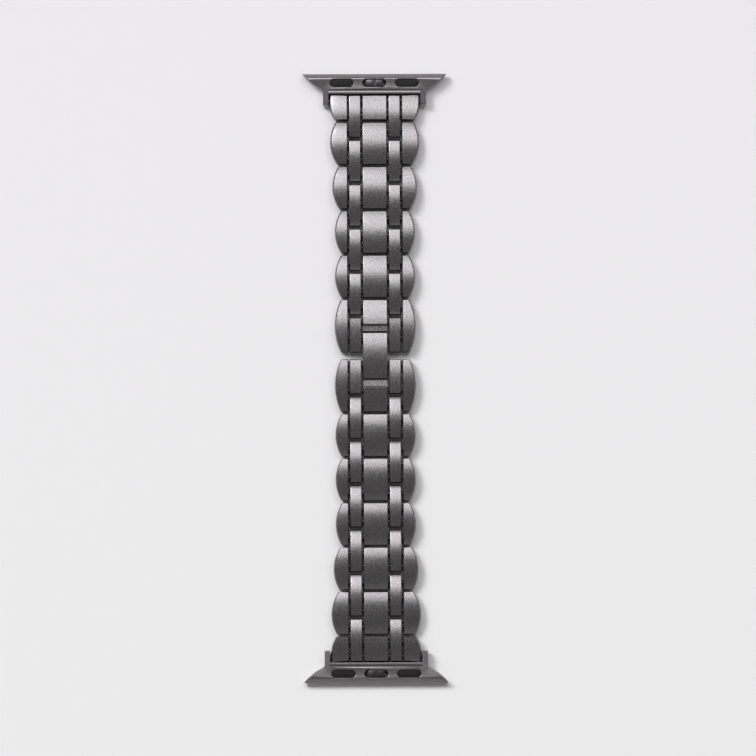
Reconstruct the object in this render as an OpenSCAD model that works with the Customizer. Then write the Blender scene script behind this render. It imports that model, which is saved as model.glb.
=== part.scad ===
// Link watch bracelet, laid flat with its crowned side up and its clasp closed.
// All sizes are in millimetres. X runs across the bracelet, Y along it, Z up.
// The origin is on the resting plane, under the middle of the whole bracelet.
// Each half is drawn along its own run, which starts at the middle of the clasp
// and ends at the far edge of its case connector.

/* [Links] */
// Distance from one link hinge to the next
link_pitch = 10.33; // [10.1:0.01:11]
// Gap between the ends of neighbouring links
link_gap = 0.46; // [0.4:0.01:0.6]
// Full links between the clasp and the upper end unit
upper_links = 4; // [1:1:4]
// Full links between the clasp and the lower end unit
lower_links = 5; // [1:1:5]
// Height of the crown of every link above the resting plane
link_crown = 2.9; // [2.85:0.01:3.2]
// How far an evenly crowned link would fall from its crown to its ends
link_fall = 0.68; // [0.5:0.01:0.72]
// Distance of the crown from the clasp end of the side and centre pieces
link_crown_run = 3.9; // [3.7:0.05:5.2]
// Distance of the crown from the clasp end of a bridge piece
bridge_crown_run = 5.6; // [4.4:0.05:5.7]
// Radius that rounds the upper edge of each link end
end_edge_r = 0.4; // [0.2:0.02:0.5]
// Bevel along the lower edge of each link end
lower_bevel = 0.25; // [0.2:0.01:0.4]
// Bevel along the long upper edges of every link piece
edge_bevel = 0.18; // [0.1:0.01:0.25]

/* [Columns across the bracelet] */
// Width of the centre pieces
centre_w = 5.76; // [5.4:0.02:6.4]
// Width of the narrow bridge pieces
bridge_w = 2.8; // [2.4:0.02:3.2]
// Gap between neighbouring columns
column_gap = 0.31; // [0.25:0.01:0.4]
// Gap between neighbouring bridge pieces, end to end
bridge_gap = 0.73; // [0.6:0.01:0.9]
// Half width of the bracelet at an ordinary link
link_half_w = 9.3; // [9.2:0.05:9.8]
// Extra half width gained by each of the last two links before a connector
flare_step = 0.52; // [0:0.02:0.56]
// How far the belly of those links moves towards the connector, per step
belly_step = 0.15; // [0:0.05:0.4]
// Radius of the bowed outer side of a link, seen from above
side_arc_r = 9.2; // [8.4:0.1:12]
// Radius of the corners of the bowed sides, seen from above
side_corner_r = 0.7; // [0.3:0.05:0.9]
// Radius across the width by which the side pieces fall away outwards
side_roll_r = 22; // [16:0.5:40]
// Width of the bevel along the bowed upper edge of a side piece
side_break = 0.3; // [0.2:0.02:0.4]
// Radius by which the outer wall of a side piece bulges between top and underside
wall_bulge_r = 6; // [4:0.1:10]
// Height of the widest line of that wall
wall_bulge_z = 1.1; // [0.8:0.05:1.4]

/* [Pins] */
// Diameter of the link pins
pin_d = 1.0; // [0.8:0.02:1.1]
// Height of every pin above the resting plane
pin_z = 1.35; // [1.3:0.01:1.4]
// Half length of the pins inside the links
pin_half = 8; // [7.2:0.05:8.1]
// Distance of a hinge pin from the end of both pieces that it joins
hinge_inset = 1.76; // [1.6:0.01:1.85]
// Distance of a fixed pin from the end of the piece that it holds
fixed_inset = 1.3; // [1.1:0.01:1.4]
// Radial clearance round a pin that its piece turns on
turn_clear = 0.05; // [0.03:0.01:0.08]
// Radial clearance round a pin that holds its piece fast
hold_clear = 0.01; // [0.01:0.005:0.015]
// Free length between a pin's end and the bottom of its blind hole
pin_end_gap = 0.1; // [0.05:0.01:0.15]

/* [Clasp] */
// Gap between the two clasp units
clasp_gap = 1.56; // [1.2:0.02:2]
// Length of a clasp unit
clasp_len = 12.29; // [12:0.01:12.8]
// Half width of a clasp unit
clasp_half_w = 9.4; // [9.2:0.05:10]
// Distance of the crown from the gap end of a clasp unit
clasp_crown_run = 4.9; // [4.6:0.05:6.4]
// Radius of the bowed outer side of a clasp unit
clasp_arc_r = 14; // [12:0.25:18]
// Length of the raised part of the centre piece of a clasp unit
clasp_centre_len = 5.95; // [5.6:0.01:6.1]
// Height of the upper shelf at the foot of the raised part behind it
upper_shelf_top = 1.9; // [1.5:0.05:2]
// Height of the lower shelf, which reaches under the latch cover, at the same place
lower_shelf_top = 1.1; // [0.9:0.02:1.15]
// Slope by which both shelves face towards the upper end, in degrees
shelf_slope = 1.5; // [0.5:0.25:3]
// Reach of the latch cover to either side of the middle of the clasp
latch_reach = 5.31; // [5.2:0.01:5.4]
// Width of the latch cover
latch_w = 5.8; // [5.4:0.02:6]
// Height of the crown of the latch cover
latch_crown = 2.75; // [2.7:0.01:2.85]
// How far the latch cover falls from its crown to its ends
latch_fall = 0.55; // [0.45:0.01:0.6]
// Wall of the latch cover
latch_wall = 0.5; // [0.45:0.01:0.55]
// Radius of the upper edges at the two ends of the latch cover
latch_edge_r = 0.2; // [0.1:0.02:0.3]
// Distance of the latch hinge from the middle of the clasp
latch_hinge = 4.24; // [4.1:0.01:4.3]
// Distance of the catch bar from the middle of the clasp
bar_run = 2.03; // [1.95:0.01:2.3]
// Half length of the catch bar
bar_half = 7.7; // [7.2:0.05:7.8]
// Width of the latch lever under its cover
lever_w = 3.6; // [3:0.05:4.4]
// Radius of the lever's eye round the latch hinge
lever_eye_r = 0.78; // [0.74:0.01:0.82]
// Thickness of the lever's web between its eye and its hook
lever_web_t = 0.45; // [0.35:0.01:0.5]
// Clearance of the hook's far wall to the catch bar
hook_clear = 0.06; // [0.04:0.01:0.08]
// Wider clearance of its near wall, so that the hook can swing off the bar
hook_swing_clear = 0.28; // [0.25:0.01:0.3]
// Wall of the hook
hook_wall = 0.55; // [0.5:0.01:0.6]
// Depth of the hook's walls below the middle of the catch bar
hook_drop = 0.75; // [0.6:0.01:0.8]
// Gap between the latch cover and the lever that carries it
cover_seat = 0.01; // [0.01:0.01:0.03]
// Clearance of the swinging tail of the latch cover to the upper shelf
tail_clear = 0.14; // [0.1:0.01:0.2]
// How far the lower shelf reaches under the latch cover
shelf_under = 0.7; // [0.5:0.05:0.8]

/* [End units] */
// Length of the side and centre pieces of an end unit
end_cap_len = 5.95; // [5.9:0.01:6.4]
// Distance of the crown from the clasp end of the long bridge pieces
end_crown_run = 4.5; // [4.2:0.05:5.2]
// Half width of an end unit, just inside the connector arms
end_half_w = 10.55; // [10.4:0.01:10.6]
// Radius of the bowed outer side of an end unit
end_arc_r = 8.2; // [7.4:0.1:9.5]
// Distance of the widest point of an end unit from its connector end
end_belly = 1.5; // [1.35:0.05:2]

/* [Case connectors] */
// Half width of a connector from the middle to the tip of its wing
tip_half_w = 16.75; // [16.3:0.05:18]
// Distance from the hinge pin to the far edge of the connector
connector_reach = 6.2; // [6.1:0.02:6.6]
// Clearance between the round ends of the end unit and the wall that they face
knuckle_gap = 0.2; // [0.15:0.01:0.25]
// Width of the lip between that wall and the groove
lip_w = 0.64; // [0.55:0.01:0.7]
// Radius by which the top of the lip is rounded over its width
lip_r = 1.8; // [1.2:0.1:3]
// Width of the groove
groove_w = 0.3; // [0.2:0.01:0.36]
// Depth of the groove
groove_depth = 0.8; // [0.4:0.02:0.9]
// How far the top of the lip lies below the top of the connector
lip_drop = 0.2; // [0.16:0.01:0.3]
// Slope of the face, which falls from the nose to the groove, in degrees
face_slope = 2; // [1:0.25:2.5]
// Clearance between an arm and the end unit
arm_gap = 0.15; // [0.1:0.01:0.2]
// Thickness of a connector arm
arm_t = 1.26; // [1:0.02:1.5]
// Width of the bevels on the nose that enters the case slot
nose_bevel = 0.95; // [0.6:0.05:1]
// Height of the flat land between the nose bevels
nose_land = 0.9; // [0.6:0.05:1.2]
// Radius between the face and the nose bevel
nose_r = 1.1; // [0.6:0.05:1.4]
// Radius of the bowed edge of a wing
wing_arc_r = 11; // [9:0.25:14]
// Bevel along the edge of a wing
wing_bevel = 0.25; // [0.1:0.01:0.35]
// Distance of the wing root from the far edge
wing_root = 3.5; // [3.3:0.02:3.6]
// Distance of the wing root from the arm
wing_root_out = 0.45; // [0.4:0.01:0.6]
// Radius that blends the wing into the arm
wing_fillet = 0.8; // [0.5:0.05:0.9]

/* [Windows, pads and catch] */
// Length of a window in the connector face
window_l = 5.4; // [5:0.05:5.8]
// Width of a window
window_w = 1.72; // [1.6:0.02:1.9]
// Distance between neighbouring windows
window_pitch = 7.6; // [7.4:0.05:7.7]
// Distance from the groove to the mouths of the windows
window_rim = 0.51; // [0.4:0.01:0.6]
// Bevel round a window
window_bevel = 0.22; // [0.1:0.01:0.25]
// Height of the floor of the pad pockets
pad_floor = 0.9; // [0.6:0.05:1.2]
// Depth of the pads below the connector face
pad_recess = 0.4; // [0.3:0.02:0.6]
// Clearance round a pad
pad_clear = 0.03; // [0.02:0.01:0.05]
// Height of the floor of the catch pocket
catch_floor = 0.45; // [0.35:0.01:0.5]
// Height of the roof over the catch flange
catch_roof = 1.75; // [1.7:0.01:1.8]
// Ledge by which the roof holds the flange in
catch_ledge = 0.3; // [0.2:0.01:0.35]
// Clearance round the catch
catch_clear = 0.1; // [0.08:0.01:0.12]
// Thickness of the catch flange
catch_flange_t = 0.45; // [0.35:0.01:0.45]
// Depth of the catch crown below the connector face
catch_sink = 0.2; // [0.1:0.02:0.3]
// Radius of the crown of the catch
catch_crown_r = 5; // [4.5:0.1:8]
// Thickness of the leaf spring under the catch
leaf_t = 0.12; // [0.08:0.01:0.15]
// Width of the leaf spring
leaf_w = 1.4; // [1:0.05:1.6]
// Length of the leaf spring
leaf_l = 4.6; // [4:0.05:5]
// Gap between the leaf spring and what it bears on
leaf_seat = 0.01; // [0.01:0.01:0.02]

/* [Hidden] */
$fn = 120;

steel = "dimgray";
bright_steel = "silver";
elastomer = "#222022";

halves = ["upper", "lower"];
link_parts = ["sides", "centre", "bridges", "pins"];
clasp_parts = ["sides", "centre", "pins"];
end_parts = ["caps", "bridges", "pins"];
connector_parts = ["connector", "pads", "catch", "catch_spring"];

function links_in(half) = half == "upper" ? upper_links : lower_links;

link_len = link_pitch - link_gap;
bridge_len = link_pitch - bridge_gap;
centre_x = centre_w / 2;
bridge_x0 = centre_x + column_gap;
bridge_x1 = bridge_x0 + bridge_w;
side_x0 = bridge_x1 + column_gap;
pin_r = pin_d / 2;
turn_r = pin_r + turn_clear;
hold_r = pin_r + hold_clear;
bore_half = pin_half + pin_end_gap;
bar_bore_half = bar_half + pin_end_gap;

// How far a cutting shape reaches past the piece that it cuts
past = 1;
// Lift of a rounding out of its corner, so that it meets the surfaces at clean edges
edge_lift = 0.02;

// Radius of an arc over len that falls by fall from its middle to its ends
function arc_radius(len, fall) = (len * len / 4 + fall * fall) / (2 * fall);

link_dome_r = arc_radius(link_len, link_fall);
bridge_dome_r = arc_radius(bridge_len, link_fall);
clasp_dome_r = arc_radius(clasp_len, link_fall);
latch_dome_r = arc_radius(2 * latch_reach, latch_fall);

// Where the pieces lie along a half, from the middle of the clasp
clasp_start = clasp_gap / 2;
first_link = clasp_start + clasp_len + link_gap;
function link_start(i) = first_link + (i - 1) * link_pitch;
function end_start(half) = link_start(links_in(half) + 1);
function connector_hinge(half) = end_start(half) + end_cap_len - pin_z;
function half_reach(half) = connector_hinge(half) + connector_reach;
clasp_y = (half_reach("lower") - half_reach("upper")) / 2;

// Where things lie in a link, from its clasp end
bridge_start = -link_gap - 2 * hinge_inset;
bridge_end = bridge_start + bridge_len;
link_fixed = [fixed_inset, bridge_end - fixed_inset];
link_hinge = link_len - hinge_inset;

// Where things lie in a clasp unit, from its gap end
rail_len = clasp_len - 2 * hinge_inset - bridge_gap;
clasp_raised = clasp_len - clasp_centre_len;
clasp_fixed = (clasp_raised + rail_len) / 2;
clasp_hinge = clasp_len - hinge_inset;
latch_pin = latch_hinge - clasp_start;
bar_pin = bar_run - clasp_start;
upper_shelf = latch_hinge - clasp_start + tail_clear
    + norm([latch_reach - latch_hinge, latch_crown - latch_fall - pin_z]);
lower_shelf = latch_reach - clasp_start - shelf_under;

// Where things lie in an end unit, from its clasp end
end_hinge = end_cap_len - pin_z;
end_fixed = fixed_inset;
end_bridge_len = end_cap_len - bridge_start;
end_crown_y = bridge_start + end_crown_run;
end_dome_r = arc_radius(end_bridge_len, link_fall);

// Connector sizes, from its hinge pin
connector_t = 2 * pin_z;
wall_y = pin_z + knuckle_gap;
face_y = wall_y + lip_w + groove_w;
window_y = face_y + window_rim + window_bevel + window_w / 2;
arm_x0 = end_half_w + arm_gap;
arm_x1 = arm_x0 + arm_t;
wing_tip = [tip_half_w, connector_reach];
wing_foot = [arm_x1 + wing_root_out, connector_reach - wing_root];
wing_mid = (wing_tip + wing_foot) / 2;
wing_chord = wing_tip - wing_foot;
wing_out = [wing_chord.y, -wing_chord.x] / norm(wing_chord);
wing_back = sqrt(wing_arc_r * wing_arc_r - pow(norm(wing_chord) / 2, 2));
wing_c = wing_mid - wing_out * wing_back;

// Half width of link i, which flares over the last two links
function steps_of(half, i) = max(0, i + 2 - links_in(half));
function half_w_of(half, i) = link_half_w + flare_step * steps_of(half, i);
function belly_of(half, i) = link_len / 2 + belly_step * steps_of(half, i);

// Height of a dome about dome_y at the place y
function dome_z(y, dome_y, r, crown) = crown - r + sqrt(r * r - pow(y - dome_y, 2));

// Moves a piece from its place in a half to its place in the bracelet
module in_half(half, run) {
    turn = half == "upper" ? 0 : 180;
    translate([0, clasp_y, 0]) rotate([0, 0, turn]) translate([0, run, 0]) children();
}

module both_sides() {
    children();
    mirror([1, 0, 0]) children();
}

// Extrudes an outline of Y and Z across the bracelet, from x0 to x1
module across(x0, x1) {
    translate([x0, 0, 0]) rotate([90, 0, 90]) linear_extrude(x1 - x0) children();
}

module rod(y, r, half_len) {
    translate([-half_len, y, pin_z]) rotate([0, 90, 0]) cylinder(r = r, h = 2 * half_len);
}

// Solid of revolution whose rim is the domed top of a piece with beveled edges
module dome(x0, x1, dome_y, r) {
    translate([0, dome_y, link_crown - r]) rotate([0, 90, 0]) rotate_extrude()
        polygon([[0, x0], [r - edge_bevel, x0], [r, x0 + edge_bevel],
            [r, x1 - edge_bevel], [r - edge_bevel, x1], [0, x1]]);
}

// The same for a side piece, which also falls away towards its outer edge
module side_dome(x1, dome_y, r) {
    translate([0, dome_y, link_crown - r]) rotate([0, 90, 0]) rotate_extrude()
        intersection() {
            polygon([[0, side_x0], [r - edge_bevel, side_x0], [r, side_x0 + edge_bevel],
                [r, x1 + past], [0, x1 + past]]);
            translate([r - side_roll_r, side_x0 + edge_bevel]) circle(side_roll_r);
        }
}

// Rounded upper corner at y, on the end that faces the way dir
module upper_corner(y, dir, dome_y, r) {
    c_y = y - dir * end_edge_r;
    c = [c_y, dome_z(c_y, dome_y, r, link_crown) - end_edge_r + edge_lift];
    difference() {
        polygon([c, [c.x, link_crown + past], [y + dir * past, link_crown + past],
            [y + dir * past, c.y]]);
        translate(c) circle(end_edge_r);
    }
}

// Side view of a piece from y0 to y1 under a dome
module end_view(y0, y1, dome_y, r) {
    difference() {
        polygon([[y0 + lower_bevel, 0], [y1 - lower_bevel, 0], [y1, lower_bevel],
            [y1, link_crown + past], [y0, link_crown + past], [y0, lower_bevel]]);
        upper_corner(y0, -1, dome_y, r);
        upper_corner(y1, 1, dome_y, r);
    }
}

// Side view of a piece whose far end is round about the connector hinge
module knuckle_view(y0, dome_y, r) {
    difference() {
        polygon([[y0 + lower_bevel, 0], [end_cap_len, 0], [end_cap_len, link_crown + past],
            [y0, link_crown + past], [y0, lower_bevel]]);
        upper_corner(y0, -1, dome_y, r);
        difference() {
            translate([end_hinge, -past]) square([pin_z + past, link_crown + 2 * past]);
            translate([end_hinge, pin_z]) circle(pin_z);
        }
    }
}

// Cuts the corner between the end line at y and the bowed side away to a radius, whose
// circle crosses the bowed side a little outside it, so that the two meet at a clean edge
module plan_corner(y, dir, arc_c, arc_r) {
    cy = y - dir * side_corner_r;
    inner_r = arc_r - side_corner_r + edge_lift;
    c = [arc_c.x + sqrt(inner_r * inner_r - pow(arc_c.y - cy, 2)), cy];
    beyond = c + (c - arc_c) * 3 * side_corner_r / inner_r;
    difference() {
        polygon([c, [c.x, y + dir * past], [beyond.x + past, y + dir * past], beyond]);
        translate(c) circle(side_corner_r);
    }
}

// Disc whose rim is the bulging outer wall of a side piece
module side_disc(half_w, arc_r, belly_y) {
    translate([half_w - arc_r, belly_y, 0]) rotate_extrude() intersection() {
        square([arc_r, link_crown + past]);
        translate([arc_r - wall_bulge_r, wall_bulge_z]) circle(wall_bulge_r);
    }
}

// Plan of a right-hand side piece whose outer side is bowed outwards about belly_y
module side_plan(len, half_w, arc_r, belly_y) {
    arc_c = [half_w - arc_r, belly_y];
    difference() {
        translate([side_x0, 0]) square([half_w - side_x0 + past, len]);
        plan_corner(0, -1, arc_c, arc_r);
        plan_corner(len, 1, arc_c, arc_r);
    }
}

// Slanting cylinder that bevels the bowed upper edge of a side piece at 45 degrees: its
// bow is that of the edge itself, which bends with the outer side, the dome and the roll
module side_break_cylinder(half_w, arc_r, belly_y, dome_y, dome_r) {
    lean = (half_w - side_x0 - edge_bevel) / side_roll_r;
    bow_side = (1 - lean) / arc_r;
    bow = bow_side + 1 / dome_r;
    y = (bow_side * belly_y + dome_y / dome_r) / bow;
    x = half_w - arc_r + sqrt(arc_r * arc_r - pow(y - belly_y, 2));
    roll = side_roll_r - sqrt(side_roll_r * side_roll_r - pow(x - side_x0 - edge_bevel, 2));
    z = dome_z(y, dome_y, dome_r, link_crown) - roll;
    r = sqrt(2) / bow;
    axis = (x + z - side_break) / 2 - r / sqrt(2);
    translate([axis, y, axis]) rotate([0, 135, 0])
        cylinder(r = r, h = 4 * tip_half_w, center = true);
}

// Both side pieces of a unit, before their holes
module side_pair(len, half_w, arc_r, belly_y, dome_y, dome_r) {
    both_sides() intersection() {
        linear_extrude(link_crown + past) side_plan(len, half_w, arc_r, belly_y);
        side_disc(half_w, arc_r, belly_y);
        side_break_cylinder(half_w, arc_r, belly_y, dome_y, dome_r);
        across(side_x0, half_w + past) end_view(0, len, dome_y, dome_r);
        side_dome(half_w, dome_y, dome_r);
    }
}

// A straight piece from x0 to x1 under a dome
module bar_piece(x0, x1, y0, y1, dome_y, dome_r) {
    intersection() {
        across(x0, x1) end_view(y0, y1, dome_y, dome_r);
        dome(x0, x1, dome_y, dome_r);
    }
}

module link_sides(half, i) {
    color(steel) difference() {
        side_pair(link_len, half_w_of(half, i), side_arc_r, belly_of(half, i),
            link_crown_run, link_dome_r);
        for (y = concat(link_fixed, [link_hinge])) rod(y, hold_r, bore_half);
    }
}

module link_centre() {
    color(steel) difference() {
        bar_piece(-centre_x, centre_x, 0, link_len, link_crown_run, link_dome_r);
        for (y = concat(link_fixed, [link_hinge])) rod(y, hold_r, bore_half);
    }
}

module link_bridges() {
    color(steel) difference() {
        both_sides() bar_piece(bridge_x0, bridge_x1, bridge_start, bridge_end,
            bridge_start + bridge_crown_run, bridge_dome_r);
        for (y = link_fixed) rod(y, hold_r, bore_half);
        rod(-link_gap - hinge_inset, turn_r, bore_half);
    }
}

module link_pins() {
    color(bright_steel) for (y = concat(link_fixed, [link_hinge])) rod(y, pin_r, pin_half);
}

// Side pieces and inner rails of a clasp unit; front is the pin nearest its gap
module clasp_sides(front, front_r, front_half) {
    color(steel) difference() {
        union() {
            side_pair(clasp_len, clasp_half_w, clasp_arc_r, clasp_len / 2,
                clasp_crown_run, clasp_dome_r);
            both_sides() bar_piece(bridge_x0, bridge_x1, 0, rail_len,
                clasp_crown_run, clasp_dome_r);
        }
        rod(front, front_r, front_half);
        for (y = [clasp_fixed, clasp_hinge]) rod(y, hold_r, bore_half);
    }
}

// Centre piece of a clasp unit with its shelf; tilt is how much the shelf rises per run
module clasp_centre(shelf, shelf_top, tilt) {
    root = clasp_raised + end_edge_r;
    color(steel) difference() {
        union() {
            bar_piece(-centre_x, centre_x, clasp_raised, clasp_len,
                clasp_crown_run, clasp_dome_r);
            across(-centre_x, centre_x) polygon([[shelf, 0], [root, 0], [root, shelf_top],
                [clasp_raised, shelf_top],
                [shelf, shelf_top - tilt * (clasp_raised - shelf)]]);
        }
        for (y = [clasp_fixed, clasp_hinge]) rod(y, hold_r, bore_half);
    }
}

module clasp_pins(places) {
    color(bright_steel) for (y = places) rod(y, pin_r, pin_half);
}

module catch_bar() {
    color(bright_steel) in_half("lower", 0) rod(bar_run, pin_r, bar_half);
}

// Side view of the latch cover between two arcs about the same middle
module latch_arch() {
    top_c = [0, latch_crown - latch_dome_r];
    edge = latch_reach - latch_edge_r;
    edge_c = [edge, dome_z(edge, 0, latch_dome_r, latch_crown) - latch_edge_r + edge_lift];
    difference() {
        intersection() {
            translate(top_c) difference() {
                circle(latch_dome_r);
                circle(latch_dome_r - latch_wall);
            }
            translate([-latch_reach, 0]) square([2 * latch_reach, latch_crown]);
        }
        translate([latch_hinge, pin_z]) circle(lever_eye_r + cover_seat);
        for (side = [0, 1]) mirror([side, 0]) difference() {
            translate(edge_c) square([past, past]);
            translate(edge_c) circle(latch_edge_r);
        }
    }
}

module latch_cover() {
    color(steel) in_half("upper", 0) intersection() {
        across(-latch_w / 2, latch_w / 2) latch_arch();
        translate([0, 0, latch_crown - latch_dome_r]) rotate([0, 90, 0]) rotate_extrude()
            polygon([[0, -latch_w / 2], [latch_dome_r - edge_bevel, -latch_w / 2],
                [latch_dome_r, edge_bevel - latch_w / 2],
                [latch_dome_r, latch_w / 2 - edge_bevel],
                [latch_dome_r - edge_bevel, latch_w / 2], [0, latch_w / 2]]);
    }
}

// Side view of the lever: an eye, a web under the cover and a hook over the bar
module lever_view() {
    seat_r = latch_dome_r - latch_wall - cover_seat;
    hook_near = -bar_run + pin_r + hook_swing_clear;
    hook_far = -bar_run - pin_r - hook_clear;
    difference() {
        union() {
            intersection() {
                translate([0, latch_crown - latch_dome_r]) difference() {
                    circle(seat_r);
                    circle(seat_r - lever_web_t);
                }
                translate([hook_far - hook_wall, 0])
                    square([latch_hinge - hook_far + hook_wall, latch_crown]);
            }
            translate([latch_hinge, pin_z]) circle(lever_eye_r);
            intersection() {
                translate([0, latch_crown - latch_dome_r]) circle(seat_r);
                translate([hook_far - hook_wall, pin_z - hook_drop])
                    square([hook_near - hook_far + 2 * hook_wall, latch_crown]);
            }
        }
        translate([hook_far, 0]) square([hook_near - hook_far, pin_z + pin_r + hook_clear]);
        translate([latch_hinge, pin_z]) circle(turn_r);
    }
}

module latch_lever() {
    color(bright_steel) in_half("upper", 0) across(-lever_w / 2, lever_w / 2) lever_view();
}

module end_caps() {
    color(steel) difference() {
        union() {
            both_sides() intersection() {
                linear_extrude(link_crown + past)
                    side_plan(end_cap_len, end_half_w, end_arc_r, end_cap_len - end_belly);
                side_disc(end_half_w, end_arc_r, end_cap_len - end_belly);
                side_break_cylinder(end_half_w, end_arc_r, end_cap_len - end_belly,
                    end_crown_y, end_dome_r);
                across(side_x0, end_half_w + past) knuckle_view(0, end_crown_y, end_dome_r);
                side_dome(end_half_w, end_crown_y, end_dome_r);
            }
            intersection() {
                across(-centre_x, centre_x) knuckle_view(0, end_crown_y, end_dome_r);
                dome(-centre_x, centre_x, end_crown_y, end_dome_r);
            }
        }
        rod(end_fixed, hold_r, bore_half);
        rod(end_hinge, hold_r, tip_half_w);
    }
}

module end_bridges() {
    color(steel) difference() {
        both_sides() intersection() {
            across(bridge_x0, bridge_x1) knuckle_view(bridge_start, end_crown_y, end_dome_r);
            dome(bridge_x0, bridge_x1, end_crown_y, end_dome_r);
        }
        rod(end_fixed, hold_r, bore_half);
        rod(end_hinge, hold_r, tip_half_w);
        rod(-link_gap - hinge_inset, turn_r, bore_half);
    }
}

module end_pins() {
    color(bright_steel) {
        rod(end_fixed, pin_r, pin_half);
        rod(end_hinge, pin_r, arm_x1 - hold_clear);
    }
}

// Plan of a pill-shaped window
module pill(l, w) {
    square([l - w, w], center = true);
    for (x = [w - l, l - w] / 2) translate([x, 0]) circle(d = w);
}

// Bevel round a window, from its width at depth window_bevel to a wider mouth
module window_mouth() {
    r = window_w / 2;
    end_x = (window_l - window_w) / 2;
    rise = 2 * window_bevel;
    for (x = [-end_x, end_x]) translate([x, 0, -window_bevel])
        cylinder(r1 = r, r2 = r + rise, h = rise);
    translate([0, 0, -window_bevel]) across(-end_x, end_x)
        polygon([[-r, 0], [r, 0], [r + rise, rise], [-r - rise, rise]]);
}

// Side view of a connector: beveled nose, sloping face, and arms round about the hinge
module connector_view() {
    land = (connector_t - nose_land) / 2;
    shoulder = [connector_reach - nose_bevel, connector_t];
    to_hinge = [-cos(face_slope), -sin(face_slope)];
    to_nose = [nose_bevel, -land] / norm([nose_bevel, land]);
    half_angle = acos(to_hinge * to_nose) / 2;
    inwards = (to_hinge + to_nose) / norm(to_hinge + to_nose);
    c = shoulder + inwards * nose_r / sin(half_angle);
    touch = nose_r / tan(half_angle);
    difference() {
        polygon([[-pin_z, 0], [shoulder.x, 0], [connector_reach, land],
            [connector_reach, connector_t - land], shoulder,
            shoulder + to_hinge * (shoulder.x + pin_z) / cos(face_slope)]);
        difference() {
            polygon([shoulder + to_hinge * touch, 2 * shoulder - c,
                shoulder + to_nose * touch, c]);
            translate(c - inwards * edge_lift) circle(nose_r);
        }
        difference() {
            translate([-pin_z - past, -past]) square([pin_z + past, connector_t + 2 * past]);
            translate([0, pin_z]) circle(pin_z);
        }
    }
}

// Side view of what is cut away over the rounded lip and in the groove behind it
module lip_and_groove() {
    groove_floor = connector_t - groove_depth;
    difference() {
        translate([wall_y - past, groove_floor]) square([lip_w + past, groove_depth + past]);
        translate([wall_y + lip_w / 2, connector_t - lip_drop - lip_r]) circle(lip_r);
    }
    translate([face_y - groove_w, groove_floor]) square([groove_w, groove_depth + past]);
}

// One wing: a disc with a beveled rim, cut off at the far edge
module wing() {
    intersection() {
        translate([wing_c.x, wing_c.y, 0]) rotate_extrude()
            polygon([[0, 0], [wing_arc_r - wing_bevel, 0], [wing_arc_r, wing_bevel],
                [wing_arc_r, connector_t - wing_bevel],
                [wing_arc_r - wing_bevel - past, connector_t + past], [0, connector_t + past]]);
        translate([arm_x1 - arm_t / 2, 0, 0])
            cube([tip_half_w - arm_x1 + arm_t, connector_reach, connector_t + past]);
    }
}

// Fills the corner between a wing and its arm
module wing_blend() {
    c_x = arm_x1 + wing_fillet;
    c = [c_x, wing_c.y - sqrt(pow(wing_arc_r + wing_fillet, 2) - pow(c_x - wing_c.x, 2))];
    touch = wing_c + (c - wing_c) * wing_arc_r / (wing_arc_r + wing_fillet);
    linear_extrude(connector_t + past) difference() {
        polygon([[arm_x1 - arm_t / 2, c.y], c, touch, [arm_x1 - arm_t / 2, touch.y]]);
        translate(c) circle(wing_fillet);
    }
}

module connector() {
    color(steel) difference() {
        intersection() {
            union() {
                translate([-arm_x1, wall_y, 0])
                    cube([2 * arm_x1, connector_reach - wall_y, connector_t + past]);
                both_sides() {
                    translate([arm_x0, -pin_z, 0])
                        cube([arm_t, wall_y + 2 * pin_z, connector_t + past]);
                    wing();
                    wing_blend();
                }
            }
            across(-tip_half_w - past, tip_half_w + past) connector_view();
        }
        across(-arm_x0, arm_x0) lip_and_groove();
        for (x = [-1, 0, 1] * window_pitch) translate([x, window_y, connector_t]) window_mouth();
        for (x = [-window_pitch, window_pitch]) translate([x, window_y, pad_floor])
            linear_extrude(connector_t) pill(window_l, window_w);
        translate([0, window_y, catch_floor]) linear_extrude(connector_t)
            pill(window_l, window_w);
        translate([0, window_y, catch_floor]) linear_extrude(catch_roof - catch_floor)
            pill(window_l + 2 * catch_ledge, window_w + 2 * catch_ledge);
        rod(0, turn_r, tip_half_w);
    }
}

module pads() {
    color(elastomer) for (x = [-window_pitch, window_pitch])
        translate([x, window_y, pad_floor])
            linear_extrude(connector_t - pad_floor - pad_recess)
                pill(window_l - 2 * pad_clear, window_w - 2 * pad_clear);
}

// Crowned button with a flange that the connector face holds in
module catch_button() {
    flange_top = catch_roof - leaf_seat;
    crown_z = connector_t - catch_sink;
    color(bright_steel) translate([0, window_y, 0]) {
        translate([0, 0, flange_top - catch_flange_t]) linear_extrude(catch_flange_t)
            pill(window_l + 2 * (catch_ledge - catch_clear),
                window_w + 2 * (catch_ledge - catch_clear));
        intersection() {
            translate([0, 0, flange_top - catch_flange_t]) linear_extrude(connector_t)
                pill(window_l - 2 * catch_clear, window_w - 2 * catch_clear);
            translate([0, window_w, crown_z - catch_crown_r]) rotate([90, 0, 0])
                cylinder(r = catch_crown_r, h = 2 * window_w);
        }
    }
}

// Arched leaf spring between the pocket floor and the catch flange
module catch_spring() {
    low = catch_floor + leaf_seat;
    high = catch_roof - leaf_seat - catch_flange_t - leaf_seat;
    r = arc_radius(leaf_l, high - low - leaf_t / 2);
    color(bright_steel) translate([0, window_y + leaf_w / 2, 0]) rotate([90, 0, 0])
        linear_extrude(leaf_w) intersection() {
            translate([0, high - r]) difference() {
                circle(r);
                circle(r - leaf_t);
            }
            translate([-leaf_l / 2, low]) square([leaf_l, high - low + past]);
        }
}

for (half = halves) for (i = [1 : links_in(half)]) {
    name = str(half, "_link_", i);
    run = link_start(i);
    in_half(half, run) link_sides(half, i);
    in_half(half, run) link_centre();
    in_half(half, run) link_bridges();
    in_half(half, run) link_pins();
}

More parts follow.
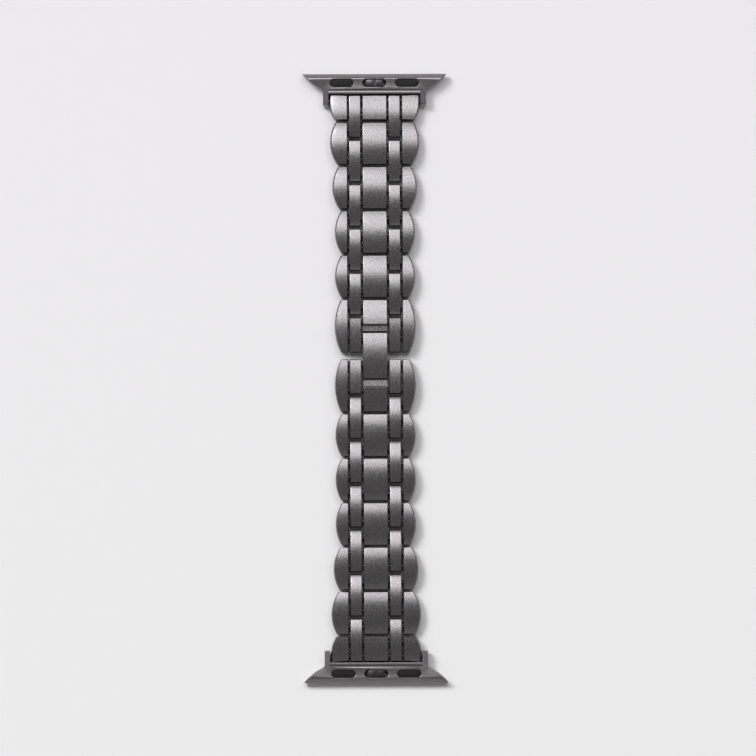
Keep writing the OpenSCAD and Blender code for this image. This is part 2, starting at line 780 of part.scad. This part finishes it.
in_half("upper", clasp_start) clasp_sides(latch_pin, hold_r, bore_half);  // upper_clasp_sides
in_half("upper", clasp_start)  // upper_clasp_centre
        clasp_centre(upper_shelf, upper_shelf_top, -tan(shelf_slope));
in_half("upper", clasp_start) clasp_pins([latch_pin, clasp_fixed, clasp_hinge]);  // upper_clasp_pins
in_half("lower", clasp_start) clasp_sides(bar_pin, turn_r, bar_bore_half);  // lower_clasp_sides
in_half("lower", clasp_start)  // lower_clasp_centre
        clasp_centre(lower_shelf, lower_shelf_top, tan(shelf_slope));
in_half("lower", clasp_start) clasp_pins([clasp_fixed, clasp_hinge]);  // lower_clasp_pins

for (half = halves) {
    start = end_start(half);
    hinge = connector_hinge(half);
    in_half(half, start) end_caps();
    in_half(half, start) end_bridges();
    in_half(half, start) end_pins();
    in_half(half, hinge) connector();
    in_half(half, hinge) pads();
    in_half(half, hinge) catch_button();
    in_half(half, hinge) catch_spring();
}

catch_bar();
latch_cover();
latch_lever();
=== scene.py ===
import math

import bpy
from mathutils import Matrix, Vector

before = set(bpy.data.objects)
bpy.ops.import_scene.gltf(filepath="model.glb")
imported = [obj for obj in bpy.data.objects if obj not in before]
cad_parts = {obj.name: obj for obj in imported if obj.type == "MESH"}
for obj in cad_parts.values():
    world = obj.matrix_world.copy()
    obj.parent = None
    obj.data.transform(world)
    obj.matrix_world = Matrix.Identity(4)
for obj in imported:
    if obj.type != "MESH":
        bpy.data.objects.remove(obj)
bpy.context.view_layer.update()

# Link watch bracelet in dark gunmetal steel, laid flat and seen from straight above.
# Each of its pieces is a CAD node, which gets its finish and broken edges here. The
# floor, the lights and the camera are the script's own.
# Lengths are metres; MM turns a size in millimetres into metres.
MM = 0.001

# The picture: pixels across, and the size of one pixel on the resting plane
PICTURE_PX = 756
PX = 0.2322 * MM
# Where the middle of the bracelet lies in the picture, in pixels
BRACELET_PX = (378.5, 378.5)
# The bracelet lies turned a little in the picture
PICTURE_TURN_DEG = -0.2
# The camera looks down from slightly below the middle of the picture
CAMERA_TILT_DEG = 4
CAMERA_HEIGHT = 3.0
CAMERA_CLIP_START = 10 * MM

# Corners of a CAD mesh that lie closer than this are one corner
WELD_GAP = 0.0005 * MM
# How wide sharp edges are broken. It is narrower on the connectors, where a wider bevel
# would reach below the resting plane.
EDGE_BREAK = 0.06 * MM
CONNECTOR_EDGE_BREAK = 0.025 * MM
EDGE_BREAK_SEGMENTS = 4
# Edges that turn by more than the first angle are broken, and those that still turn by
# more than the second are shaded crisp
BROKEN_EDGE_DEG = 28
CRISP_EDGE_DEG = 12

# Nearly all of a noise lies between these, so a mix that runs from one to the other
# uses its whole range
NOISE_LOW = 0.3
NOISE_HIGH = 0.7
NOISE_DETAIL = 2.0


def linear(hex_colour):
    """The linear RGBA of an sRGB hex colour such as 4D4B4E."""
    parts = [int(hex_colour[i:i + 2], 16) / 255 for i in (0, 2, 4)]
    return [c / 12.92 if c <= 0.04045 else ((c + 0.055) / 1.055) ** 2.4
            for c in parts] + [1]


def new_material(name):
    """An empty node material, its tree and its Principled shader."""
    material = bpy.data.materials.new(name)
    material.use_nodes = True
    tree = material.node_tree
    return material, tree, tree.nodes["Principled BSDF"]


def put(tree, kind, inputs=None, **settings):
    """Adds a node with its settings and inputs."""
    node = tree.nodes.new(kind)
    for name, value in settings.items():
        setattr(node, name, value)
    feed(tree, node, inputs or {})
    return node


def feed(tree, node, inputs):
    """Feeds a node's inputs, each with a value or with a socket that is linked to it."""
    for name, value in inputs.items():
        if isinstance(value, bpy.types.NodeSocket):
            tree.links.new(value, node.inputs[name])
        else:
            node.inputs[name].default_value = value


def stretched_noise(tree, width, length):
    """Noise with grains of a width across the bracelet and a length along it."""
    place = put(tree, "ShaderNodeTexCoord").outputs["Object"]
    stretch = put(tree, "ShaderNodeMapping", {
        "Vector": place, "Scale": (1 / width, 1 / length, 1 / width)})
    noise = put(tree, "ShaderNodeTexNoise", {
        "Vector": stretch.outputs["Vector"], "Scale": 1.0, "Detail": NOISE_DETAIL})
    return noise.outputs["Fac"]


def painted_wall_shade_mask(tree):
    """0 on the upright walls of a piece, which get painted shade, 1 on its faces above and
    below, and between the two on its chamfers."""
    wall_rise = 0.55
    face_rise = 0.85
    normal = put(tree, "ShaderNodeTexCoord").outputs["Normal"]
    rise = put(tree, "ShaderNodeSeparateXYZ", {"Vector": normal}).outputs["Z"]
    steep = put(tree, "ShaderNodeMath", {0: rise}, operation="ABSOLUTE").outputs["Value"]
    return put(tree, "ShaderNodeMapRange", {
        "Value": steep, "From Min": wall_rise, "From Max": face_rise}).outputs["Result"]


def brushed_gunmetal():
    """Steel with a grey hard coat over a brushed finish: fine lines run along the bracelet,
    and coarser grit under them makes the edge of every highlight streaky and sparkling.
    Lines and grit are drawn coarser than real ones, so that they show in the picture."""
    material, tree, shader = new_material("brushed_gunmetal_steel")
    grit_width = 0.2 * MM
    grit_length = 0.5 * MM
    grit_depth = 0.016 * MM
    line_width = 0.09 * MM
    line_length = 3.0 * MM
    line_depth = 0.004 * MM
    line_strength = 0.5
    smoothest = 0.22
    roughest = 0.3
    grit = stretched_noise(tree, grit_width, grit_length)
    lines = stretched_noise(tree, line_width, line_length)
    tone = put(tree, "ShaderNodeMapRange", {
        "Value": grit, "From Min": NOISE_LOW, "From Max": NOISE_HIGH})
    brushed = put(tree, "ShaderNodeMixRGB", {
        "Fac": tone.outputs["Result"], "Color1": linear("817E80"),
        "Color2": linear("9D9A9C")})
    # Painted shade: the upright walls take the dark colour 504D4F, which darkens the gaps
    # between pieces and the outer edges of the pieces.
    colour = put(tree, "ShaderNodeMixRGB", {
        "Fac": painted_wall_shade_mask(tree), "Color1": linear("504D4F"),
        "Color2": brushed.outputs["Color"]})
    rough = put(tree, "ShaderNodeMapRange", {
        "Value": lines, "From Min": NOISE_LOW, "From Max": NOISE_HIGH,
        "To Min": smoothest, "To Max": roughest})
    brushing = put(tree, "ShaderNodeBump", {
        "Height": lines, "Strength": line_strength, "Distance": line_depth})
    hammer = put(tree, "ShaderNodeBump", {
        "Height": grit, "Strength": 1.0, "Distance": grit_depth,
        "Normal": brushing.outputs["Normal"]})
    feed(tree, shader, {
        "Base Color": colour.outputs["Color"], "Metallic": 1.0,
        "Roughness": rough.outputs["Result"], "Normal": hammer.outputs["Normal"]})
    return material


def satin_gunmetal():
    """The same coat over a fine blasted finish, on the connectors: even and satin. The
    blasted grain is drawn coarser than the real one, so that it shows."""
    material, tree, shader = new_material("satin_gunmetal_steel")
    grain = 0.15 * MM
    grain_depth = 0.008 * MM
    grain_strength = 0.6
    grit = stretched_noise(tree, grain, grain)
    colour = put(tree, "ShaderNodeMixRGB", {
        "Fac": grit, "Color1": linear("8F8C8E"), "Color2": linear("9B989A")})
    bump = put(tree, "ShaderNodeBump", {
        "Height": grit, "Strength": grain_strength, "Distance": grain_depth})
    feed(tree, shader, {
        "Base Color": colour.outputs["Color"], "Metallic": 1.0, "Roughness": 0.27,
        "Normal": bump.outputs["Normal"]})
    return material


def drawn_steel():
    """Dark steel of the pins, the catch bar, the lever, the catches and their springs:
    drawn and tumbled, so it is fairly smooth and slightly clouded."""
    material, tree, shader = new_material("drawn_steel")
    cloud_size = 0.12 * MM
    smoothest = 0.2
    roughest = 0.34
    clouds = stretched_noise(tree, cloud_size, cloud_size)
    colour = put(tree, "ShaderNodeMixRGB", {
        "Fac": clouds, "Color1": linear("4C4A4C"), "Color2": linear("6A686A")})
    rough = put(tree, "ShaderNodeMapRange", {
        "Value": clouds, "To Min": smoothest, "To Max": roughest})
    feed(tree, shader, {
        "Base Color": colour.outputs["Color"], "Metallic": 1.0,
        "Roughness": rough.outputs["Result"]})
    return material


def moulded_elastomer():
    """Black moulded elastomer of the pads: matt, with a fine eroded texture, which is drawn
    coarser than the real one, so that it shows."""
    material, tree, shader = new_material("moulded_black_elastomer")
    grain = 0.3 * MM
    grain_depth = 0.08 * MM
    skin = stretched_noise(tree, grain, grain)
    colour = put(tree, "ShaderNodeMixRGB", {
        "Fac": skin, "Color1": linear("050505"), "Color2": linear("161516")})
    bump = put(tree, "ShaderNodeBump", {
        "Height": skin, "Strength": 1.0, "Distance": grain_depth})
    feed(tree, shader, {
        "Base Color": colour.outputs["Color"], "Roughness": 0.5,
        "Specular IOR Level": 0.3, "Normal": bump.outputs["Normal"]})
    return material


def finish_of(name, finishes):
    """The finish of a CAD node, by the name of its piece."""
    if name.endswith("_pads"):
        return finishes["elastomer"]
    if name.endswith("_connector"):
        return finishes["satin"]
    if name.endswith(("_pins", "_catch", "_catch_spring", "catch_bar", "latch_lever")):
        return finishes["drawn"]
    return finishes["brushed"]


def dress_nodes():
    """Gives every CAD node its finish and breaks its sharp edges. Side pieces and end caps
    keep the chamfers that they have in the CAD."""
    finishes = {
        "brushed": brushed_gunmetal(), "satin": satin_gunmetal(),
        "drawn": drawn_steel(), "elastomer": moulded_elastomer()}
    for name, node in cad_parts.items():
        node.data.materials.clear()
        node.data.materials.append(finish_of(name, finishes))
        weld = node.modifiers.new("weld", "WELD")
        weld.merge_threshold = WELD_GAP
        if not name.endswith(("_sides", "_caps")):
            edge = node.modifiers.new("broken edges", "BEVEL")
            edge.width = (
                CONNECTOR_EDGE_BREAK if name.endswith("_connector") else EDGE_BREAK)
            edge.segments = EDGE_BREAK_SEGMENTS
            edge.limit_method = "ANGLE"
            edge.angle_limit = math.radians(BROKEN_EDGE_DEG)
            edge.use_clamp_overlap = False
        select_only(node)
        bpy.ops.object.shade_smooth()
        crisp = node.modifiers.new("crisp edges", "EDGE_SPLIT")
        crisp.split_angle = math.radians(CRISP_EDGE_DEG)


def select_only(obj):
    """Selects one object and nothing else, and makes it the active one."""
    bpy.ops.object.select_all(action="DESELECT")
    obj.select_set(True)
    bpy.context.view_layer.objects.active = obj


def set_camera():
    """A camera above the bracelet that frames it as in the picture."""
    data = bpy.data.cameras.new("camera")
    camera = bpy.data.objects.new("camera", data)
    bpy.context.scene.collection.objects.link(camera)
    bpy.context.scene.camera = camera
    tilt = math.radians(CAMERA_TILT_DEG)
    middle = Vector(((PICTURE_PX / 2 - BRACELET_PX[0]) * PX,
                     (BRACELET_PX[1] - PICTURE_PX / 2) * PX, 0))
    away = Vector((0, -math.sin(tilt), math.cos(tilt)))
    camera.location = middle + CAMERA_HEIGHT * away
    camera.rotation_euler = (tilt, 0, math.radians(PICTURE_TURN_DEG))
    data.sensor_fit = "HORIZONTAL"
    data.angle = 2 * math.atan(PICTURE_PX * PX / 2 / CAMERA_HEIGHT)
    data.clip_start = CAMERA_CLIP_START


def soft_light(name, direction, distance, size, radiance):
    """A rectangular studio light that faces the bracelet from a direction. The radiance is
    how bright its panel looks, whatever its size and distance."""
    data = bpy.data.lights.new(name, "AREA")
    data.shape = "RECTANGLE"
    data.size, data.size_y = size
    data.energy = math.pi * size[0] * size[1] * radiance
    light = bpy.data.objects.new(name, data)
    bpy.context.scene.collection.objects.link(light)
    towards = Vector(direction).normalized()
    light.location = towards * distance
    light.rotation_euler = towards.to_track_quat("Z", "Y").to_euler()


def set_lights():
    """A wide soft light near the bracelet, over its upper end, a smaller key at the upper
    left, a faint fill over the lower end, and a dim room. The near edge of the first light
    decides how far the highlight reaches on each piece."""
    overhead_deg = 28
    lean = math.radians(overhead_deg)
    soft_light("overhead", direction=(0, math.sin(lean), math.cos(lean)), distance=1.2,
               size=(1.75, 0.576), radiance=2.3)
    soft_light("key", direction=(-0.8, 0.7, 1.0), distance=8.0, size=(2.8, 2.8),
               radiance=13.7)
    soft_light("fill", direction=(0.1, -0.9, 1.0), distance=6.0, size=(8.0, 2.6),
               radiance=0.22)
    set_room()


def set_room():
    """A dim white room whose walls are brighter than its ceiling."""
    wall_strength = 0.36
    ceiling_strength = 0.17
    ceiling_rise = 0.4
    world = bpy.data.worlds.new("room")
    bpy.context.scene.world = world
    world.use_nodes = True
    tree = world.node_tree
    direction = put(tree, "ShaderNodeTexCoord").outputs["Generated"]
    rise = put(tree, "ShaderNodeSeparateXYZ", {"Vector": direction}).outputs["Z"]
    strength = put(tree, "ShaderNodeMapRange", {
        "Value": rise, "From Min": 0.0, "From Max": ceiling_rise,
        "To Min": wall_strength, "To Max": ceiling_strength})
    feed(tree, tree.nodes["Background"], {
        "Color": linear("FFFFFF"), "Strength": strength.outputs["Result"]})


def set_floor():
    """A plain pale floor under the bracelet. It is a touch darker towards the upper end,
    where the overhead light is near, and so looks even."""
    floor_size = 6.0
    reach = 90 * MM
    material, tree, shader = new_material("pale_floor")
    place = put(tree, "ShaderNodeTexCoord").outputs["Object"]
    along = put(tree, "ShaderNodeSeparateXYZ", {"Vector": place}).outputs["Y"]
    towards_light = put(tree, "ShaderNodeMapRange", {
        "Value": along, "From Min": -reach, "From Max": reach})
    colour = put(tree, "ShaderNodeMixRGB", {
        "Fac": towards_light.outputs["Result"], "Color1": linear("FDFCFD"),
        "Color2": linear("F5F3F5")})
    feed(tree, shader, {
        "Base Color": colour.outputs["Color"], "Roughness": 0.9,
        "Specular IOR Level": 0.1})
    bpy.ops.object.select_all(action="DESELECT")
    bpy.ops.mesh.primitive_plane_add(size=floor_size)
    floor = bpy.context.object
    floor.name = "floor"
    floor.data.materials.append(material)


dress_nodes()
set_camera()
set_lights()
set_floor()
bpy.context.scene.view_settings.view_transform = "Standard"
